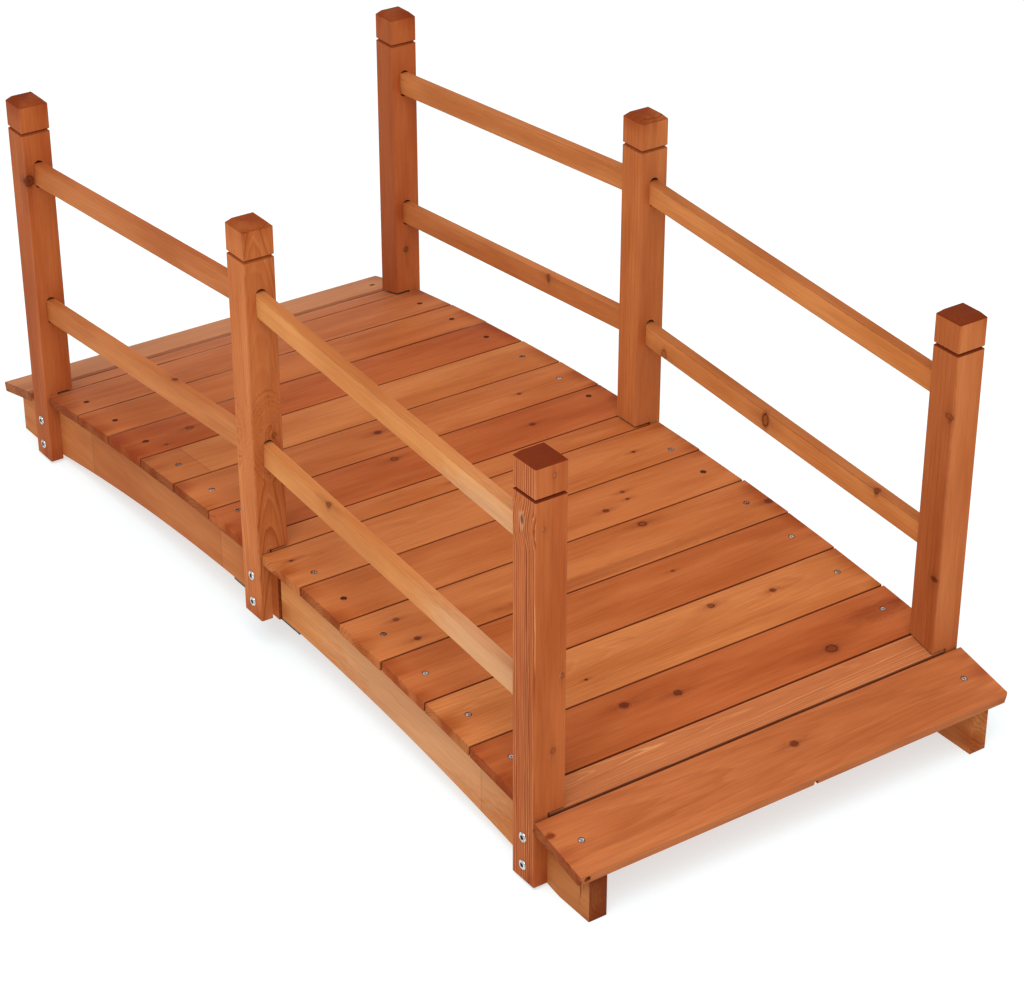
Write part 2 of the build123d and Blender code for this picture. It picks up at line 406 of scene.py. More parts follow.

# %% [markdown]
# ## Marks
#
# Bark pockets, bruises, cracks and damp stains are longer than they are wide, and so are the patches of
# painted shade and painted highlight that some pieces get further on. Each could be drawn as a shape of
# its own, but one more group is enough: it makes a soft, ragged patch of any half length, half width and
# half depth, and a piece can use it for dark or for pale marks.

# %% Group: mark
mark_waves = (60.0, 400.0, 400.0)
mark_detail = 4.0
mark_rough = 1.3
mark_range = (1.1, 0.45)
wiring, given, wanted = new_group(
    "mark", ("Place", "Centre", "Size"), ("Strength", "Before"), (), {"Mask": "value"})
offset = wiring.vector("SUBTRACT", given["Place"], given["Centre"])
distance = wiring.vector("LENGTH", wiring.vector("DIVIDE", offset, given["Size"]))
ragged = wiring.wobble(given["Place"], mark_waves, mark_detail)
distance = wiring.math("MULTIPLY_ADD", ragged, mark_rough, distance)
mask = wiring.times(wiring.fade(distance, *mark_range), given["Strength"])
wiring.feed(wanted["Mask"], wiring.math("MAXIMUM", mask, given["Before"]))
print("mark made")

# %% [markdown]
# ## Splices
#
# Long boards are often glued up from shorter lengths, and the stain shows it: the tone steps at a straight
# line across the grain. The lengths could be separate meshes, but nothing else tells them apart. So this
# group adds one line, and the tone changes each time a line is passed.

# %% Group: splice
splice_line_range = (0.0011, 0.0003)
wiring, given, wanted = new_group(
    "splice", ("Place",), ("At", "Tone Before", "Line Before"), (), {"Tone": "value", "Line": "value"})
past = wiring.math("SUBTRACT", wiring.split(given["Place"])[0], given["At"])
beyond = wiring.math("GREATER_THAN", past, 0.0)
tone = wiring.math("ABSOLUTE", wiring.math("SUBTRACT", given["Tone Before"], beyond))
line = wiring.fade(wiring.math("ABSOLUTE", past), *splice_line_range)
wiring.feed(wanted["Tone"], tone)
wiring.feed(wanted["Line"], wiring.math("MAXIMUM", given["Line Before"], line))
print("splice made")

# %% [markdown]
# ## Shade in the screw holes
#
# Each screw sits in a hole that is cut as a shape further on. The wall and rim of that hole are painted
# darker than the board, as painted shade inside the recess. A second material could line the hole, but
# its edge would be hard. So this group finds the points close to a screw's axis, on the face and down in
# the hole alike.

# %% Group: screw hole shade
hole_shade_range = (0.0050, 0.0043)
board_plane = (1.0, 1.0, 0.0)
wiring, given, wanted = new_group("screw_pit", ("Place", "Centre"), ("Before",), (), {"Mask": "value"})
gap = wiring.vector("SUBTRACT", given["Place"], given["Centre"])
gap = wiring.vector("LENGTH", wiring.vector("MULTIPLY", gap, board_plane))
wiring.feed(wanted["Mask"], wiring.math("MAXIMUM", wiring.fade(gap, *hole_shade_range), given["Before"]))
print("screw_pit made")

# %% [markdown]
# ## Stain
#
# A thin stain soaks in unevenly. It clouds and streaks the wood, darkens towards the sawn ends that drink
# it up and wears off the edges that feet and weather rub. Some layers are painted light: painted shade on
# the boards' sides down in the gaps between them and on the wall and rim of each screw hole, and a painted
# highlight that shares the worn-edge mask where the far boards' top edges catch the light. Pale marks can
# also carry painted highlights and sheen. One flat colour with some noise would lose all of that, so this
# group lays the masks over each other, one layer of colour after the other, as the finish builds up on the
# wood. Pale and deep are the two ends of a piece's own tone. Late wood stays darker, and a pale line can
# follow it where the next year starts.

# %% Stain colours
end_grain_red = (0.125, 0.017, 0.004, 1.0)
knot_red = (0.200, 0.038, 0.010, 1.0)
bark_brown = (0.056, 0.010, 0.005, 1.0)
# Painted shade for the wall and rim of each screw hole.
hole_shade_brown = (0.105, 0.026, 0.010, 1.0)
pale_wood = (0.70, 0.32, 0.120, 1.0)
# Pale edges: real wear, and a painted highlight where top edges catch the light.
worn_and_glint_wood = (0.64, 0.34, 0.18, 1.0)
# Pale for scars and paler wood, also used for painted highlights and sheen.
scar_and_sheen_pale = (0.56, 0.34, 0.20, 1.0)
late_tint = (0.58, 0.40, 0.30, 1.0)
streak_tint = (0.80, 0.66, 0.56, 1.0)
soak_tint = (0.76, 0.60, 0.48, 1.0)
splice_tint = (0.91, 0.86, 0.83, 1.0)
# Painted shade for the boards' sides in the gaps between them.
gap_shade_tint = (0.30, 0.14, 0.08, 1.0)
mark_tint = (0.30, 0.10, 0.05, 1.0)
print("13 stain colours mixed")

# %% Group: stain, masks
arris_range = (0.0030, 0.0008)
patchy_range = (0.40, 0.60)
gap_shade_range = (0.0009, 0.0001)
soak_range = (0.034, 0.002)
soak_cloud_range = (0.36, 0.62)
wiring, given, wanted = new_group(
    "stain", ("Place", "Half Size"),
    ("Late Wood", "Ridge", "Fibre", "Cloud", "Streak", "Ring Strength", "Pale Lines", "End Grain",
     "End Dark", "Knot Bark", "Knot Red", "Dark Mark", "Pale Mark", "Screw Pit", "Splice Tone",
     "Splice Line", "Wear", "Edge Soak"),
    ("Pale", "Deep"),
    {"Colour": "colour", "Roughness": "value", "Height": "value"})
inward = wiring.vector("SUBTRACT", given["Half Size"], wiring.vector("ABSOLUTE", given["Place"]))
from_end, from_side, from_top = wiring.split(inward)
arris = wiring.fade(wiring.math("MAXIMUM", from_side, from_top), *arris_range)
# Edge mask for real wear, and on the far boards for a painted highlight where their top edges catch the
# light.
worn_and_glint = wiring.times(wiring.times(arris, given["Wear"]), wiring.fade(given["Streak"], *patchy_range))
# Painted shade: a board's sides, down in the gaps between boards, are darkened.
gap_shaded = wiring.times(wiring.fade(from_side, *gap_shade_range), given["Edge Soak"])
soaked = wiring.times(wiring.fade(from_end, *soak_range), wiring.fade(given["Cloud"], *soak_cloud_range))
dark_ring = wiring.times(given["Late Wood"], given["Ring Strength"])
pale_ring = wiring.times(given["Ridge"], given["Pale Lines"])
print("stain masks made")

# %% Group: stain, layers
cloud_range = (0.30, 0.70)
dark_streak_range = (0.52, 0.76, 0.0, 0.24)
pale_streak_range = (0.46, 0.24, 0.0, 0.08)
line_share, red_share, bark_share, hole_shade_share, sawn_ring_share = 0.35, 0.75, 0.90, 0.9, 0.5
colour = wiring.paint(wiring.fade(given["Cloud"], *cloud_range), given["Pale"], given["Deep"])
for mask, over, mode in (
        (wiring.fade(given["Streak"], *dark_streak_range), streak_tint, "MULTIPLY"),
        (wiring.fade(given["Streak"], *pale_streak_range), pale_wood, "MIX"),
        (dark_ring, late_tint, "MULTIPLY"),
        (pale_ring, pale_wood, "MIX"),
        (given["Splice Tone"], splice_tint, "MULTIPLY"),
        (wiring.times(given["Splice Line"], line_share), bark_brown, "MIX"),
        (soaked, soak_tint, "MULTIPLY"),
        (worn_and_glint, worn_and_glint_wood, "MIX"),
        (gap_shaded, gap_shade_tint, "MULTIPLY"),
        # Pale marks: real scars and paler wood, and also painted highlights and sheen.
        (given["Pale Mark"], scar_and_sheen_pale, "MIX"),
        (given["Dark Mark"], mark_tint, "MULTIPLY"),
        (wiring.times(given["Knot Red"], red_share), knot_red, "MIX"),
        (wiring.times(given["Knot Bark"], bark_share), bark_brown, "MIX")):
    colour = wiring.paint(mask, colour, over, mode)
sawn = wiring.paint(wiring.times(given["Late Wood"], sawn_ring_share), colour, end_grain_red)
sawn = wiring.paint(given["End Dark"], sawn, end_grain_red)
colour = wiring.paint(given["End Grain"], colour, sawn)
# Painted shade: the wall and rim of each screw hole are darkened.
colour = wiring.paint(wiring.times(given["Screw Pit"], hole_shade_share), colour, hole_shade_brown)
print("stain layers laid")

# %% Group: stain, sheen and relief
fibre_brightness = (0.25, 0.75, 0.92, 1.07)
fibre_roughness = (0.2, 0.8, 0.50, 0.64)
end_roughness = 0.2
late_relief, bark_relief = -0.6, -0.8
brightness = wiring.node("ShaderNodeHueSaturation")
wiring.feed(brightness.inputs["Value"], wiring.fade(given["Fibre"], *fibre_brightness))
wiring.feed(brightness.inputs["Color"], colour)
wiring.feed(wanted["Colour"], brightness.outputs[0])
gloss = wiring.fade(given["Fibre"], *fibre_roughness)
wiring.feed(wanted["Roughness"], wiring.math("MULTIPLY_ADD", given["End Grain"], end_roughness, gloss))
relief = wiring.math("MULTIPLY_ADD", given["Late Wood"], late_relief, given["Fibre"])
relief = wiring.math("MULTIPLY_ADD", given["Ridge"], given["Pale Lines"], relief)
wiring.feed(wanted["Height"], wiring.math("MULTIPLY_ADD", given["Knot Bark"], bark_relief, relief))
print("stain made")

# %% [markdown]
# ## A piece's own directions
#
# No two boards are cut from the same place in a tree, so each piece gets a material of its own, built from
# the shared groups. Its directions could be typed for each of the 37 wooden pieces, but the helper class
# below reads them from the mesh: boards run across the bridge, rails run down their own slope, posts stand
# up and beams lie along the walk.


# %% Timber directions
class Timber:
    """A wooden piece's own directions, middle and half sizes."""

    def __init__(self, name, kind):
        self.name = name
        faces = nodes[name].data.polygons
        top = max(faces, key=lambda face: face.area * face.normal.z).normal.copy()
        sideways = Vector((0.0, 1.0, 0.0))
        self.along, self.up = {
            "board": (sideways, top),
            "rail": (sideways.cross(top).normalized(), top),
            "post": (Vector((0.0, 0.0, 1.0)), Vector((1.0, 0.0, 0.0))),
            "beam": (Vector((1.0, 0.0, 0.0)), Vector((0.0, 0.0, 1.0))),
        }[kind]
        self.across = self.up.cross(self.along)
        self.axes = (self.along, self.across, self.up)
        corners = [vertex.co for vertex in nodes[name].data.vertices]
        spans = [[corner.dot(axis) for corner in corners] for axis in self.axes]
        self.half = Vector([(max(span) - min(span)) / 2 for span in spans])
        middles = [(max(span) + min(span)) / 2 for span in spans]
        self.centre = sum((axis * middle for axis, middle in zip(self.axes, middles)), Vector())

    def inside(self, point):
        """A point of the bridge, as distances in this piece's own directions."""
        return Vector([(Vector(point) - self.centre).dot(axis) for axis in self.axes])

    def outside(self, along, across, up):
        """A place in this piece, as a point of the bridge."""
        return self.centre + self.along * along + self.across * across + self.up * up

    def on_top(self, x, y):
        """The point of a board's upper face at that x and y."""
        return self.outside(*self.inside((x, y, self.centre.z)).xy, self.half.z)


tread_lean = Timber("front_tread", "board").up.angle(Vector((0.0, 0.0, 1.0)))
print(f"front_tread leans {math.degrees(tread_lean):.1f} degrees")

# %% [markdown]
# ## Mixing the stain for a piece
#
# Tone 0 is a pale, golden board and tone 1 a deep, red one, and a few pieces go past either end. The
# material holds the shader itself. The groups feed its colour, roughness and bump, and what is the same
# all over is typed straight into the shader: a low index of refraction, because an oiled stain has none
# of varnish's grey glare. The grain is drawn by chance, within what is usual for such a piece, and a
# piece that stands out in the photograph has a figure of its own instead.

# %% Stained timber material
palest = Vector((0.488, 0.160, 0.045))
deepest = Vector((0.388, 0.095, 0.025))
pale_end = Vector((1.10, 1.19, 1.28))
deep_end = Vector((0.89, 0.81, 0.74))
stain_ior = 1.12
stain_bump, stain_bump_distance = 0.5, 0.0005


def stained_timber(timber, tone, grain, end_dark=0.6, knots=(), dark_marks=(), pale_marks=(), screws=(),
                   splices=(), wear=0.08, edge_soak=0.0, light=1.0):
    """A stained wood material for one piece.

    Knots are (point, radius, openness, strength, swerve) and marks are (point, half sizes, strength).
    """
    material, wiring, shader = new_material(timber.name + "_stain")
    place, facing, end_grain = wiring.group("piece_place", {
        "Centre": timber.centre, "Along": timber.along, "Across": timber.across, "Up": timber.up})
    bark, red, push, hole_shade, splice_tone, splice_line = 0.0, 0.0, 0.0, 0.0, 0.0, 0.0
    for point, radius, openness, strength, swerve in knots:
        bark, red, push = wiring.group("knot", {
            "Place": place, "Centre": timber.inside(point), "Radius": radius, "Open": openness,
            "Strength": strength, "Swerve": swerve, "Bark Before": bark, "Red Before": red,
            "Push Before": push})
    masks = {"Dark Mark": 0.0, "Pale Mark": 0.0}
    for label, marks in (("Dark Mark", dark_marks), ("Pale Mark", pale_marks)):
        for point, size, strength in marks:
            masks[label] = wiring.group("mark", {
                "Place": place, "Centre": timber.inside(point), "Size": size, "Strength": strength,
                "Before": masks[label]})[0]
    # Each screw's hole gets painted shade on its wall and rim.
    for along, across, _ in screws:
        hole_shade = wiring.group("screw_pit", {
            "Place": place, "Centre": (along, across, 0.0), "Before": hole_shade})[0]
    for point in splices:
        splice_tone, splice_line = wiring.group("splice", {
            "Place": place, "At": timber.inside(point).x, "Tone Before": splice_tone,
            "Line Before": splice_line})
    late, ridge, fibre, cloud, streak = wiring.group("growth_rings", {
        "Place": place, "Facing": facing, "Push": push, **{label: grain[label] for label in ring_inputs}})
    mean = palest.lerp(deepest, tone) * light
    colour, roughness, height = wiring.group("stain", {
        "Place": place, "Half Size": timber.half, "Late Wood": late, "Ridge": ridge, "Fibre": fibre,
        "Cloud": cloud, "Streak": streak, "End Grain": end_grain, "End Dark": end_dark, "Wear": wear,
        "Edge Soak": edge_soak, "Knot Bark": bark, "Knot Red": red, **masks, "Screw Pit": hole_shade,
        "Splice Tone": splice_tone, "Splice Line": splice_line,
        "Pale": (*(mean * pale_end), 1.0), "Deep": (*(mean * deep_end), 1.0),
        "Ring Strength": grain["Ring Strength"], "Pale Lines": grain["Pale Lines"]})
    shader.inputs["IOR"].default_value = stain_ior
    wiring.feed(shader.inputs["Base Color"], colour)
    wiring.feed(shader.inputs["Roughness"], roughness)
    add_bump(wiring, shader, height, stain_bump, stain_bump_distance)
    return material


print("stained timber ready")


# %% Grain and dressing
def draw_grain(draw, ranges, figure):
    """Draws a number from each range, keeps plain numbers, and lets a piece's own figure overrule both."""
    drawn = {label: draw.uniform(*value) if isinstance(value, tuple) else value
             for label, value in ranges.items()}
    return {**drawn, **figure}


def dress(name, material):
    """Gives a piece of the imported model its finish."""
    data = nodes[name].data
    data.materials.clear()
    data.materials.append(material)


print("grain and dressing ready")

# %% [markdown]
# ## Building shapes
#
# Boards, screw heads, bolt heads and drilled holes could each be modelled by hand, but one way makes them
# all: rings of points are stacked along a line, the gaps between them are skinned and both ends are
# closed. A board is a rounded outline drawn out along its length. A head or a hole is a stack of rings
# round one axis, and a ring may also follow a hexagon or a cross, which makes the sockets.


# %% Shape builder
class Shape:
    """Points and faces that grow, solid by solid, into one mesh."""

    def __init__(self):
        self.points, self.faces = [], []

    def skin(self, rings):
        """Adds a closed solid through rings of equally many points."""
        count = len(rings[0])
        first = len(self.points)
        for ring in rings:
            self.points.extend(ring)
        for low in range(first, first + count * (len(rings) - 1), count):
            for step in range(count):
                after = (step + 1) % count
                self.faces.append((low + step, low + after, low + count + after, low + count + step))
        last = first + count * (len(rings) - 1)
        self.faces.append(tuple(range(first + count - 1, first - 1, -1)))
        self.faces.append(tuple(range(last, last + count)))

    def turned(self, rings, point, outward, segments=48):
        """Adds a turned solid on a point, by rings of (radius, height). A radius may go by angle."""
        stand = Matrix.Translation(point) @ outward.to_track_quat("Z", "Y").to_matrix().to_4x4()
        angles = [2 * math.pi * step / segments for step in range(segments)]
        self.skin([[stand @ Vector((reach * math.cos(angle), reach * math.sin(angle), height))
                    for angle in angles for reach in [radius(angle) if callable(radius) else radius]]
                   for radius, height in rings])

    def mesh(self, name):
        """The mesh, with its faces turned outwards."""
        made = bpy.data.meshes.new(name)
        made.from_pydata(self.points, [], self.faces)
        solid = bmesh.new()
        solid.from_mesh(made)
        bmesh.ops.recalc_face_normals(solid, faces=solid.faces)
        solid.to_mesh(made)
        solid.free()
        return made


print("shape builder ready")

# %% Adding and carving
sharp_angle = math.radians(35.0)


def add_piece(name, mesh, material):
    """Puts a new piece on the bridge."""
    mesh.materials.clear()
    mesh.materials.append(material)
    mesh.shade_smooth()
    mesh.set_sharp_from_angle(angle=sharp_angle)
    piece = link(bpy.data.objects.new(name, mesh))
    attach(piece, "root")
    return piece


def carved(mesh, cutter):
    """A copy of a mesh with the cutter's solids taken away."""
    body = link(bpy.data.objects.new("carving", mesh))
    tool = link(bpy.data.objects.new("cutter", cutter))
    step = body.modifiers.new("cut", "BOOLEAN")
    step.object = tool
    step.solver = "EXACT"
    result = bpy.data.meshes.new_from_object(body.evaluated_get(bpy.context.evaluated_depsgraph_get()))
    result.name = mesh.name
    for thing in (body, tool):
        bpy.data.objects.remove(thing)
    return result


print("adding and carving ready")

# %% [markdown]
# ## Worn boards
#
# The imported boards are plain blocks. Real ones are planed, so their edges are slightly round, their ends
# are never cut quite in line, and the screws sit in holes below the surface, some so deep that they show
# only as dark spots. A bevel and a bump could hint at that, but the outline would stay straight. So each
# board is rebuilt with its real edges and holes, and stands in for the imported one. The front tread has
# been knocked about too: a chip in its lower edge, a hole near one corner and two broken corners.

# %% Board builder
edge_radius = 0.0011
end_ease = 0.0007
corner_steps = 4
hole_radius = 0.0042
hole_sides = 24


def rounded_outline(half_width, half_height, radius):
    """Points round a rectangle with round corners."""
    outline = []
    for side, rise, start in ((1, 1, 0), (-1, 1, 1), (-1, -1, 2), (1, -1, 3)):
        for step in range(corner_steps + 1):
            angle = math.pi / 2 * (start + step / corner_steps)
            outline.append((side * (half_width - radius) + radius * math.cos(angle),
                            rise * (half_height - radius) + radius * math.sin(angle)))
    return outline


def board_mesh(timber, trims, holes, chips):
    """A board with eased edges.

    Holes are (along, across, depth) and chips are (place, direction, radius, reach, sides).
    """
    low, high = trims[0] - timber.half.x, timber.half.x - trims[1]
    slices = ((low, end_ease), (low + end_ease, 0.0), (high - end_ease, 0.0), (high, end_ease))
    board = Shape()
    board.skin([[timber.outside(along, across, up) for across, up in
                 rounded_outline(timber.half.y - ease, timber.half.z - ease, edge_radius)]
                for along, ease in slices])
    cutter = Shape()
    for along, across, depth in holes:
        cutter.turned([(hole_radius, -depth), (hole_radius, hole_radius)],
                      timber.outside(along, across, timber.half.z), timber.up, hole_sides)
    for place, axis, radius, reach, sides in chips:
        cutter.turned([(radius, -reach), (radius, reach)], timber.outside(*place), axis, sides)
    mesh = board.mesh(timber.name)
    return carved(mesh, cutter.mesh("cutter")) if cutter.points else mesh


print("board builder ready")

# %% [markdown]
# ## Deck boards
#
# The boards were stained in one go, yet some came out golden and some russet. One tone with noise would
# make the deck look printed, so the tones below were chosen board by board, and so were the knots and
# marks that stand out. A knot is its x, y, radius and how open its middle is. A mark is its x, y, half
# sizes and strength. The far boards have pale, worn edges with a painted highlight where their top edges
# catch the light, and a band of painted shade along their near edges. The near boards have painted shade
# in the gaps between them.

# %% Tones and knots of the deck
deck_tones = {
    "front_plank_6": 0.50, "front_plank_5": 0.64, "front_plank_4": 0.56, "front_plank_3": 0.84,
    "front_plank_2": 0.30, "front_plank_1": 1.08, "front_post_board": 0.80, "front_tread": 0.82,
    "middle_post_board": 0.56, "back_plank_6": 1.12, "back_plank_5": 0.64, "back_plank_4": 0.28,
    "back_plank_3": 1.18, "back_plank_2": 0.72, "back_plank_1": 0.88, "back_post_board": 0.84,
    "back_tread": 0.42,
}
usual_deck_end_dark = 0.4
deck_end_dark = {
    "front_plank_6": 0.0, "front_plank_5": 0.35, "front_plank_4": 0.05, "front_plank_3": 0.0,
    "front_plank_2": 0.26, "front_plank_1": 0.30, "back_plank_6": 0.0, "back_plank_5": 0.50,
    "back_plank_4": 0.5, "back_plank_3": 0.0, "front_tread": 0.55,
}
deck_knots = {
    "front_plank_1": [(0.592, 0.183, 0.0062, 0.5), (0.564, -0.046, 0.0040, 0.3),
                      (0.550, -0.120, 0.0044, 0.2)],
    "front_plank_2": [(0.441, 0.103, 0.0034, 0.7), (0.455, 0.196, 0.0030, 0.3),
                      (0.485, -0.131, 0.0016, 0.0)],
    "front_plank_3": [(0.352, 0.108, 0.0018, 0.6)],
    "front_plank_4": [(0.239, 0.142, 0.0044, 0.8), (0.253, -0.267, 0.0026, 0.7),
                      (0.303, -0.266, 0.0030, 0.2), (0.285, 0.327, 0.0042, 0.3)],
    "front_plank_5": [(0.185, 0.120, 0.0030, 0.3), (0.176, 0.164, 0.0018, 0.0),
                      (0.157, 0.169, 0.0022, 0.6)],
    "front_plank_6": [(0.076, 0.249, 0.0022, 0.3), (0.058, -0.308, 0.0020, 0.2)],
    "front_tread": [(0.704, 0.028, 0.0038, 0.3)],
    "middle_post_board": [(0.003, -0.010, 0.0024, 0.2)],
    "back_plank_6": [(-0.074, 0.178, 0.0032, 0.2), (-0.101, -0.043, 0.0040, 0.9)],
    "back_plank_5": [(-0.185, -0.018, 0.0040, 0.2), (-0.163, 0.009, 0.0030, 0.1),
                     (-0.167, 0.219, 0.0024, 0.2)],
    "back_plank_3": [(-0.370, -0.302, 0.0016, 0.0), (-0.341, -0.280, 0.0018, 0.0),
                     (-0.371, -0.226, 0.0040, 0.9)],
}
print(f"{len(deck_tones)} tones, {sum(len(knots) for knots in deck_knots.values())} knots")

# %% Marks and figure of the deck
whole_board = (0.8, 0.2)
band_depth = 0.02
deck_dark_bands = {
    "front_plank_4": [(0.306, 0.040, (0.26, 0.013), 0.30)],
    "front_plank_1": [(0.560, 0.290, (0.06, 0.020), 0.35)],
    "front_tread": [(0.690, -0.3325, (0.0085, 0.0066), 0.80)],
    "back_plank_4": [(-0.272, -0.345, (0.075, 0.2), 0.14)],
    # The back tread's band is painted shade along its near edge, in the gap to the board in front.
    "back_tread": [(-0.670, 0.0, (0.8, 0.009), 0.60)],
}
deck_pale_and_sheen_bands = {
    "front_post_board": [(0.64, 0.0, whole_board, 0.08)],
    "front_tread": [(0.71, 0.0, whole_board, 0.04)],
    # The bands on the back tread, back post board and back plank 1 are a painted sheen.
    "back_tread": [(-0.713, 0.0, whole_board, 0.24)],
    "back_post_board": [(-0.64, 0.0, whole_board, 0.08)],
    "back_plank_1": [(-0.56, 0.0, whole_board, 0.06)],
}
# The first of these lines lies off the board's end, so the board starts with the darker tone.
deck_splices = {"back_plank_4": [-0.50, -0.272]}
board_grain = {
    "Seed": (1.0, 40.0), "Heart Across": (-0.04, 0.04), "Heart Below": (0.02, 0.08),
    "Heart Lean": (-0.06, 0.06), "Ring Width": (0.0040, 0.0062), "Waver": 0.014, "Fray": 1.6,
    "Face Fade": 0.0, "Ring Strength": (0.08, 0.20), "Pale Lines": (0.0, 0.10),
}
deck_figure = {
    "front_post_board": {"Heart Across": 0.012, "Heart Below": 0.016, "Heart Lean": 0.014,
                         "Ring Width": 0.0022, "Waver": 0.010, "Ring Strength": 0.18, "Pale Lines": 0.70},
    "front_tread": {"Heart Across": 0.010, "Heart Below": 0.055, "Heart Lean": 0.050,
                    "Ring Width": 0.0085, "Ring Strength": 0.28, "Pale Lines": 0.05},
    "front_plank_2": {"Heart Across": 0.020, "Heart Below": 0.030, "Heart Lean": 0.040,
                      "Ring Width": 0.0034, "Ring Strength": 0.20, "Pale Lines": 0.14},
}
banded = {*deck_dark_bands, *deck_pale_and_sheen_bands}
print(f"{len(banded)} boards with bands, {len(deck_figure)} with a figure")

# %% Screws and knocks of the deck
screw_from_end = 0.0365
shallow, half_sunk, deep = 0.0002, 0.0007, 0.0035
screw_depths = {
    "front_plank_5": (deep, deep), "front_plank_4": (half_sunk, shallow), "back_plank_6": (half_sunk, deep),
    "back_plank_5": (half_sunk, shallow), "back_plank_4": (shallow, half_sunk),
    "back_plank_3": (deep, deep), "back_plank_2": (deep, deep), "back_plank_1": (deep, deep),
    "back_tread": (deep, deep),
}
screw_steps = {"plank_6": 0.100, "plank_5": 0.175, "plank_4": 0.272, "plank_3": 0.370, "plank_2": 0.467,
               "plank_1": 0.560, "tread": 0.713}


def screw_spots(timber):
    """Where a board's two screws are: along it, across it and how deep."""
    end, part = timber.name.split("_", 1)
    if part not in screw_steps:
        return []
    walk = screw_steps[part] if end == "front" else -screw_steps[part]
    across = timber.inside((walk, 0.0, timber.centre.z)).y
    reach = timber.half.x - screw_from_end
    left, right = screw_depths.get(timber.name, (shallow, shallow))
    return [(-reach, across, left), (reach, across, right)]


def tread_chips(timber):
    """The knocks on the front tread, as (place, direction, radius, reach, sides)."""
    front, low = -timber.half.y, -timber.half.z
    edge_chip = ((0.020, front, low), timber.along, 0.0068, 0.0030, 7)
    corner_hole = ((-0.328, front, 0.0005), timber.across, 0.0046, 0.010, 12)
    right_corner = ((timber.half.x, front, 0.0), timber.up, 0.0050, 0.012, 4)
    left_corner = ((-timber.half.x, front, low), timber.up, 0.0040, 0.010, 4)
    return [edge_chip, corner_hole, right_corner, left_corner]


print(f"screws {screw_from_end * 1000:.1f} mm from the boards' ends")

# %% Deck boards
# On the far boards the pale edges are a painted highlight where their top edges catch the light.
near_wear, far_edge_glint, far_from = 0.05, 0.8, -0.42
# Painted shade in the gaps between the near boards.
near_gap_shade = 0.66
# Painted shade along each far board's near edge, in the gap to the board in front.
far_gap_shade, far_gap_shade_size = 0.75, (1.0, 0.0026, band_depth)
knot_strength = 1.0
plank_trim, tread_trim = 0.0025, 0.0005


def bands_on(timber, bands):
    """A board's marks, from their places on its top."""
    return [(timber.on_top(x, y), (*half_sizes, band_depth), strength)
            for x, y, half_sizes, strength in bands.get(timber.name, [])]


deck = {name: Timber(name, "board") for name in deck_tones}
for name, timber in deck.items():
    draw = random.Random(name)
    grain = draw_grain(draw, board_grain, deck_figure.get(name, {}))
    is_far, is_tread = timber.centre.x < far_from, "tread" in name
    knots = [(timber.on_top(x, y), radius, openness, knot_strength, radius)
             for x, y, radius, openness in deck_knots.get(name, [])]
    dark_bands = bands_on(timber, deck_dark_bands)
    # A far board gets a dark band of painted shade along its near edge.
    if is_far:
        near_edge = timber.outside(0.0, -timber.half.y, timber.half.z)
        dark_bands.append((near_edge, far_gap_shade_size, far_gap_shade))
    spots = screw_spots(timber)
    stain = stained_timber(
        timber, deck_tones[name], grain, deck_end_dark.get(name, usual_deck_end_dark), knots, dark_bands,
        bands_on(timber, deck_pale_and_sheen_bands), spots, [(0.0, y, 0.0) for y in deck_splices.get(name, [])],
        wear=far_edge_glint if is_far else near_wear,
        edge_soak=0.0 if is_far or is_tread else near_gap_shade)
    most = tread_trim if is_tread else plank_trim
    trims = (draw.uniform(0.0, most), draw.uniform(0.0, most))
    chips = tread_chips(timber) if name == "front_tread" else []
    mesh = board_mesh(timber, trims, spots, chips)
    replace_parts(add_piece("worn_" + name, mesh, stain), name)
print(f"{len(deck)} boards rebuilt and stained")

# %% [markdown]
# ## Posts
#
# The posts are the reddest pieces. On the front left post the rings stand square to the outer face, so it
# shows straight stripes, while the middle left post was cut close to its tree's heart and shows tall
# arches. Both come from where the heart is put, not from a drawn pattern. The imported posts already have
# their caps, grooves and mortises, so they keep their meshes and only get a finish.

# %% Tones, figure and knots of the posts
post_tones = {"front_left_post": 1.04, "middle_left_post": 0.50, "back_left_post": 1.05,
              "front_right_post": 0.74, "middle_right_post": 0.48, "back_right_post": 1.06}
post_light = {"front_left_post": 1.03, "middle_left_post": 1.17, "front_right_post": 1.07,
              "middle_right_post": 1.07}
usual_post_end_dark = 0.6
post_end_dark = {"front_left_post": 0.95, "front_right_post": 0.92, "middle_left_post": 0.55}
post_grain = {
    "Seed": (1.0, 40.0), "Heart Across": (-0.012, 0.012), "Heart Below": (0.05, 0.09),
    "Heart Lean": (-0.04, 0.04), "Ring Width": (0.0032, 0.0046), "Waver": 0.009, "Fray": 2.0,
    "Face Fade": 0.6, "Ring Strength": 0.30, "Pale Lines": 0.10,
}
post_figure = {
    "front_left_post": {"Heart Across": 0.004, "Heart Below": 0.110, "Heart Lean": 0.004,
                        "Ring Width": 0.0038, "Waver": 0.0030, "Fray": 2.6, "Face Fade": 0.97,
                        "Ring Strength": 2.20, "Pale Lines": 1.00},
    "middle_left_post": {"Heart Across": 0.004, "Heart Below": 0.0210, "Heart Lean": 0.060,
                         "Ring Width": 0.0023, "Waver": 0.012, "Fray": 0.6, "Face Fade": 0.0,
                         "Ring Strength": 0.62, "Pale Lines": 0.24},
}
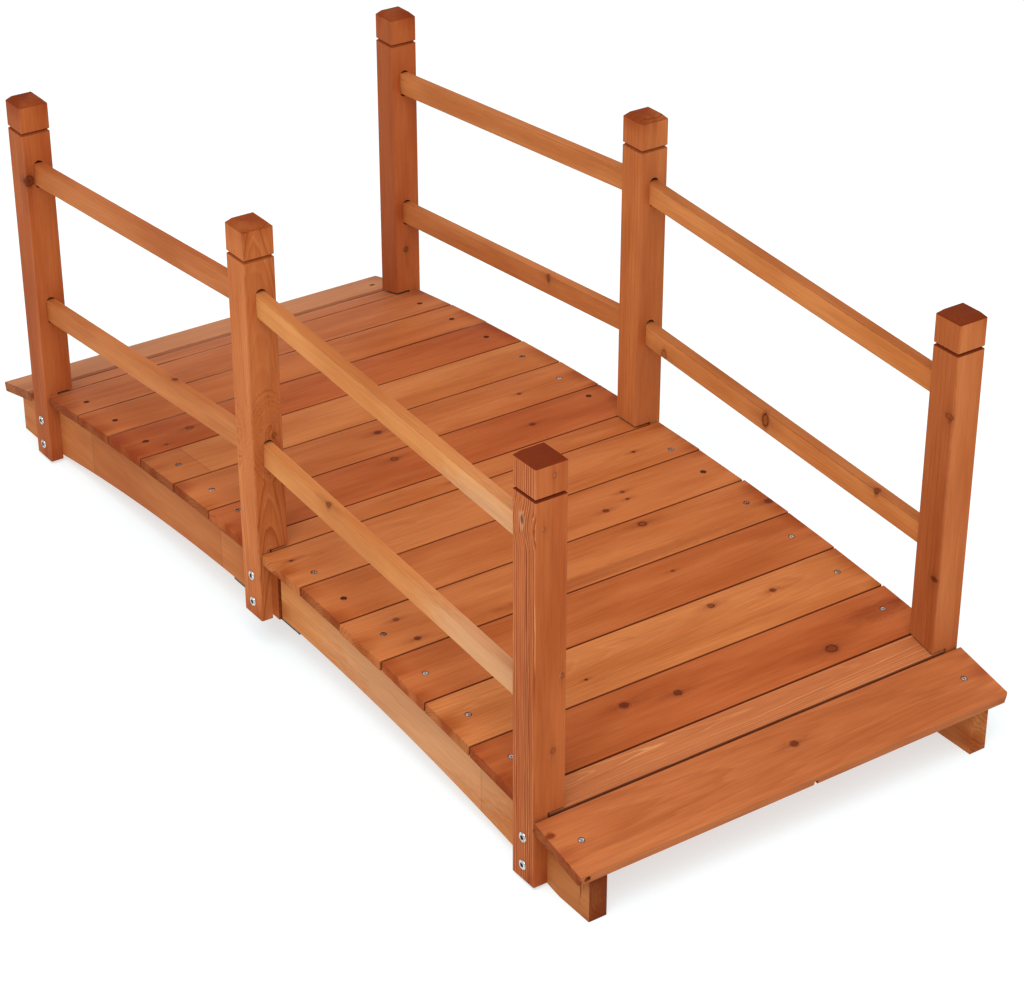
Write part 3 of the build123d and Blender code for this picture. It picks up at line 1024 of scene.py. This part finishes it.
post_knots = {
    "front_left_post": [((0.6645, -0.298, 0.296), 0.0026, 0.7, 0.6, 0.003),
                        ((0.6645, -0.310, 0.195), 0.0030, 0.7, 0.5, 0.003),
                        ((0.6645, -0.311, 0.566), 0.0024, 0.8, 0.4, 0.002),
                        ((0.6645, -0.325, 0.501), 0.0020, 0.8, 0.4, 0.002),
                        ((0.637, -0.337, 0.500), 0.0060, 1.0, 0.0, 0.006)],
    "middle_left_post": [((0.0225, -0.305, 0.328), 0.0030, 0.6, 0.6, 0.003),
                         ((0.0225, -0.305, 0.330), 0.0120, 1.0, 0.0, -0.030)],
    "front_right_post": [((0.657, 0.292, 0.218), 0.0024, 0.1, 0.9, 0.002),
                         ((0.659, 0.292, 0.454), 0.0030, 0.7, 0.6, 0.002)],
    "back_left_post": [((-0.6195, -0.331, 0.468), 0.0062, 0.2, 0.9, 0.004)],
    "back_right_post": [((-0.6195, 0.311, 0.192), 0.0034, 0.4, 0.8, 0.003)],
}
print(f"{len(post_tones)} tones, {sum(len(knots) for knots in post_knots.values())} knots")

# %% Posts
skin_deep = 0.003
post_dark_marks = {
    "front_left_post": [((0.6385, -0.337, 0.506), (0.0080, 0.0030, 0.0036), 0.85),
                        ((0.634, -0.337, 0.496), (0.0140, 0.0030, 0.0012), 0.6)],
    "front_right_post": [((0.660, 0.293, 0.450), (0.010, 0.0050, 0.0050), 0.6),
                         # Painted shade: this mark darkens the front right post's whole inner face.
                         ((0.642, 0.292, 0.350), (0.6, skin_deep, 0.06), 0.32)],
    # Painted shade: each of these darkens one whole face of a post, the near face of the middle posts and
    # the inner face of the back right post.
    "middle_left_post": [((0.0225, -0.3145, 0.350), (0.6, 0.06, skin_deep), 0.28)],
    "middle_right_post": [((0.0225, 0.3145, 0.350), (0.6, 0.06, skin_deep), 0.17)],
    "back_right_post": [((-0.642, 0.292, 0.350), (0.6, skin_deep, 0.06), 0.16)],
}
post_pale_marks = {
    "front_left_post": [((0.637, -0.337, 0.505), (0.0150, 0.0040, 0.0068), 0.50),
                        ((0.6645, -0.3005, 0.2965), (0.0040, 0.0020, skin_deep), 0.45),
                        ((0.6645, -0.3115, 0.5665), (0.0030, 0.0018, skin_deep), 0.30),
                        ((0.6645, -0.3265, 0.5015), (0.0030, 0.0018, skin_deep), 0.30)],
}
for name, tone in post_tones.items():
    grain = draw_grain(random.Random(name), post_grain, post_figure.get(name, {}))
    dress(name, stained_timber(
        Timber(name, "post"), tone, grain, post_end_dark.get(name, usual_post_end_dark),
        post_knots.get(name, []), post_dark_marks.get(name, []), post_pale_marks.get(name, []),
        light=post_light.get(name, 1.0)))
print(f"{len(post_tones)} posts stained")

# %% [markdown]
# ## Rails
#
# The rails are the most golden pieces, some paler than any board, and their upper faces look darker than
# their sides in this light. A second material on those faces would leave a hard line, so a soft dark mark
# that is as long as the rail lies on its top instead, as painted shade.

# %% Rails
rail_tones = {"front_left_upper": -0.95, "front_left_lower": -0.75, "front_right_upper": -0.58,
              "front_right_lower": -0.62, "back_left_upper": 0.50, "back_left_lower": 0.15,
              "back_right_upper": -0.18, "back_right_lower": 0.00}
# Painted shade on the rails' tops: its size, and how strong it is on each rail.
top_shade_size = (1.0, 0.10, 0.0028)
usual_top_shade = 0.2
rail_top_shades = {"front_right_upper": 0.50, "front_right_lower": 0.50, "front_left_upper": 0.38,
                  "back_left_lower": 0.12}
# Near the front left post both rails are paler wood with a painted highlight on it.
rail_pale_and_highlight_marks = {"front_left_upper": [((0.585, -0.322, 0.455), (0.16, 0.05, 0.05), 0.45)],
                   "front_left_lower": [((0.560, -0.322, 0.265), (0.17, 0.05, 0.05), 0.45)]}
rail_knots = {
    "front_left_lower": [((0.185, -0.322, 0.309), 0.0036, 0.4, 0.8, 0.002)],
    "back_left_lower": [((-0.237, -0.3125, 0.302), 0.0032, 0.2, 0.9, 0.002)],
    "back_right_lower": [((-0.218, 0.307, 0.298), 0.0030, 0.3, 0.7, 0.002)],
    "front_right_lower": [((0.2935, 0.307, 0.284), 0.0046, 0.95, 0.9, 0.003),
                          ((0.066, 0.307, 0.288), 0.0038, 0.9, 0.6, 0.003),
                          ((0.522, 0.309, 0.281), 0.0034, 0.3, 0.9, 0.003)],
}
rail_grain = {
    "Seed": (1.0, 40.0), "Heart Across": (-0.05, 0.05), "Heart Below": (0.02, 0.06),
    "Heart Lean": (-0.04, 0.04), "Ring Width": (0.0035, 0.0050), "Waver": 0.010, "Fray": 2.0,
    "Face Fade": 0.0, "Ring Strength": 0.11, "Pale Lines": 0.05,
}
for place, tone in rail_tones.items():
    timber = Timber(place + "_rail", "rail")
    grain = draw_grain(random.Random(place), rail_grain, {})
    top = timber.outside(0.0, 0.0, timber.half.z)
    # Painted shade: the rail's top is darkened.
    top_shade = (top, top_shade_size, rail_top_shades.get(place, usual_top_shade))
    dress(timber.name, stained_timber(
        timber, tone, grain, knots=rail_knots.get(place, []), dark_marks=[top_shade],
        pale_marks=rail_pale_and_highlight_marks.get(place, [])))
print(f"{len(rail_tones)} rails stained")

# %% [markdown]
# ## Beams and blocks
#
# The arched beams took the stain lightly and were glued up from lengths, so they have splices like some
# boards. The front left one has a crack near its foot. It is too fine for a mesh, so it is three narrow
# dark marks, in a foot that is a little redder than the rest. The blocks at the joint get a plain finish.

# %% Beams and blocks
beam_tones = {"front_left_beam": -0.42, "front_right_beam": -0.25, "back_left_beam": 0.20,
              "back_right_beam": 0.50, "middle_left_block": 0.50, "middle_right_block": 0.50}
usual_beam_end_dark = 0.5
beam_end_dark = {"front_left_beam": 0.75, "front_right_beam": 0.25}
beam_pale_marks = {"front_left_beam": [((0.38, -0.317, 0.10), (0.26, 0.10, 0.10), 0.35)]}
beam_dark_marks = {"front_left_beam": [((0.733, -0.317, 0.040), (0.0022, 0.004, 0.020), 0.80),
                                       ((0.739, -0.317, 0.048), (0.0020, 0.004, 0.012), 0.60),
                                       ((0.730, -0.317, 0.020), (0.0016, 0.004, 0.010), 0.55),
                                       ((0.730, -0.317, 0.050), (0.09, 0.10, 0.20), 0.28)]}
beam_splices = {"front_left_beam": [0.523], "back_left_beam": [-0.512, -0.121],
                "front_right_beam": [0.31], "back_right_beam": [-0.38]}
beam_grain = {
    "Seed": (1.0, 40.0), "Heart Across": (0.02, 0.05), "Heart Below": (-0.03, 0.03),
    "Heart Lean": (-0.03, 0.03), "Ring Width": (0.0050, 0.0070), "Waver": 0.014, "Fray": 2.0,
    "Face Fade": 0.0, "Ring Strength": 0.11, "Pale Lines": 0.05,
}
for name, tone in beam_tones.items():
    grain = draw_grain(random.Random(name), beam_grain, {})
    dress(name, stained_timber(
        Timber(name, "beam"), tone, grain, beam_end_dark.get(name, usual_beam_end_dark),
        dark_marks=beam_dark_marks.get(name, []), pale_marks=beam_pale_marks.get(name, []),
        splices=[(x, 0.0, 0.0) for x in beam_splices.get(name, [])]))
print(f"{len(beam_tones)} beams and blocks stained")

# %% [markdown]
# ## Black joint plates
#
# A flat steel plate ties the two halves of each beam from below. It has a baked black coat: nearly black,
# with a faint orange-peel texture that breaks up the shine. A plain black would look like a hole, so one
# noise drives both the roughness and the bump.

# %% Joint plates
plate_black = (0.006, 0.006, 0.006, 1.0)
plate_shine = 0.25
peel_waves = (900.0, 900.0, 900.0)
peel_roughness = (0.2, 0.8, 0.38, 0.55)
peel_bump, peel_bump_distance = 0.4, 0.0002
coat, wiring, shader = new_material("black_coat")
place = wiring.node("ShaderNodeTexCoord").outputs["Object"]
peel = wiring.noise(place, peel_waves, smooth_detail)
shader.inputs["Base Color"].default_value = plate_black
shader.inputs["Specular IOR Level"].default_value = plate_shine
wiring.feed(shader.inputs["Roughness"], wiring.fade(peel, *peel_roughness))
add_bump(wiring, shader, peel, peel_bump, peel_bump_distance)
for side in ("left", "right"):
    dress(side + "_joint_plate", coat)
print("2 joint plates coated")

# %% [markdown]
# ## Zinc
#
# The bolts and screws are zinc plated. New zinc is bright, and handling scuffs it to a dull grey. An even
# metal would flash as one spot of light, so a noise mixes the bright with the dull and the smooth with the
# rough. Both kinds of head share that group. The bolts are shinier, and the screws paler and more matt.

# %% Group: scuffed zinc
scuff_waves = (420.0, 420.0, 420.0)
scuff_range = (0.36, 0.62)
wiring, given, wanted = new_group(
    "scuffed_zinc", (), ("Smooth", "Rough"), ("Bright", "Dull"), {"Colour": "colour", "Roughness": "value"})
place = wiring.node("ShaderNodeTexCoord").outputs["Object"]
scuff = wiring.fade(wiring.noise(place, scuff_waves, fine_detail), *scuff_range)
wiring.feed(wanted["Colour"], wiring.paint(scuff, given["Bright"], given["Dull"]))
wiring.feed(wanted["Roughness"], wiring.fade(scuff, 0.0, 1.0, given["Smooth"], given["Rough"]))
print("scuffed_zinc made")


# %% Zinc finishes
def zinc_finish(name, bright, dull, smooth, rough):
    """Zinc plate that is scuffed from bright and smooth to dull and rough."""
    zinc, wiring, shader = new_material(name)
    colour, roughness = wiring.group("scuffed_zinc", {
        "Bright": bright, "Dull": dull, "Smooth": smooth, "Rough": rough})
    shader.inputs["Metallic"].default_value = 1.0
    wiring.feed(shader.inputs["Base Color"], colour)
    wiring.feed(shader.inputs["Roughness"], roughness)
    return zinc


bolt_zinc = zinc_finish("bolt_zinc", bright=(0.74, 0.73, 0.72, 1.0), dull=(0.34, 0.33, 0.32, 1.0),
                        smooth=0.14, rough=0.34)
screw_zinc = zinc_finish("screw_zinc", bright=(0.97, 0.97, 0.97, 1.0), dull=(0.86, 0.87, 0.88, 1.0),
                         smooth=0.40, rough=0.55)
print("2 zinc finishes ready")

# %% [markdown]
# ## Bolts
#
# Each post is held by two bolts whose flat, slightly domed heads have a six-sided socket. A cut through
# the head could make the socket, but a stack of rings that turns from round to six-sided makes head and
# socket in one go. The post behind is not drilled, so a thin dark plug at the bottom of each socket is
# painted shade, standing for its dark depth. All heads of one kind are joined into one piece.


# %% Sockets and heads
def hexagon(reach):
    """The radius of a hexagon with corners at that reach, by angle."""
    step = math.pi / 3
    return lambda angle: reach * math.cos(step / 2) / math.cos(angle % step - step / 2)


def cross(reach, arm):
    """The radius of a plus sign with that reach and half width of arm, by angle."""
    nearly_none = 1e-6

    def radius(angle):
        flat = max(abs(math.cos(angle)), nearly_none)
        tall = max(abs(math.sin(angle)), nearly_none)
        return max(min(reach / flat, arm / tall), min(arm / flat, reach / tall))
    return radius


def heads(name, rings, places, finish):
    """One piece with a head at each place, a (point, outward direction) pair."""
    shape = Shape()
    for point, outward in places:
        shape.turned(rings, point, outward)
    add_piece(name, shape.mesh(name), finish)
    print(f"{name}: {len(places)} heads, {len(shape.faces)} faces")


print("sockets ready")

# %% Bolts in the posts
bolt_radius = 0.0069
bolt_height = 0.0022
bolt_rises = (0.0215, 0.0625)
bolt_dome = ((1.0, 0.35), (0.95, 0.62), (0.80, 0.86), (0.62, 1.0))
socket_reach = 0.0034
socket_mouth = socket_reach * 1.12
socket_lip = bolt_height * 0.88
socket_floor = 0.0003
# Painted shade: a dark plug at the bottom of each socket.
shade_plug_reach = socket_reach * 0.96
shade_plug_height = socket_floor * 2
sunk = 0.0004
bolt_rings = [
    (bolt_radius, -sunk), *((bolt_radius * width, bolt_height * rise) for width, rise in bolt_dome),
    (socket_mouth, bolt_height), (hexagon(socket_reach), socket_lip), (hexagon(socket_reach), socket_floor),
]
shade_plug_rings = [(hexagon(shade_plug_reach), 0.0), (hexagon(shade_plug_reach), shade_plug_height)]
bolt_places = []
for name in post_tones:
    low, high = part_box(name)
    outward = Vector((0.0, -1.0 if "left" in name else 1.0, 0.0))
    face = low.y if "left" in name else high.y
    for rise in bolt_rises:
        bolt_places.append((Vector(((low.x + high.x) / 2, face, low.z + rise)), outward))
heads("post_bolts", bolt_rings, bolt_places, bolt_zinc)
heads("bolt_sockets", shade_plug_rings, bolt_places, coat)

# %% [markdown]
# ## Screws
#
# Each plank and tread has a cross-headed screw near either end, in the hole that was cut for it. The cross
# could be a dark texture, but close up a real recess catches the light, so its rings follow a plus sign
# that narrows on the way down.

# %% Screws in the boards
screw_radius = 0.0038
screw_rim = screw_radius * 0.92
screw_neck = screw_radius * 0.5
screw_depth = 0.0020
recess_reach, recess_arm = 0.0017, 0.00038
recess_depth = screw_depth * 0.7
recess_mouth = cross(recess_reach, recess_arm * 1.3)
recess_floor = cross(recess_reach * 0.55, recess_arm)
screw_rings = [(screw_neck, -screw_depth), (screw_radius, -sunk), (screw_rim, 0.0),
               (recess_mouth, 0.0), (recess_floor, -recess_depth)]
screw_places = [(timber.outside(along, across, timber.half.z - depth), timber.up)
                for timber in deck.values() for along, across, depth in screw_spots(timber)]
heads("deck_screws", screw_rings, screw_places, screw_zinc)
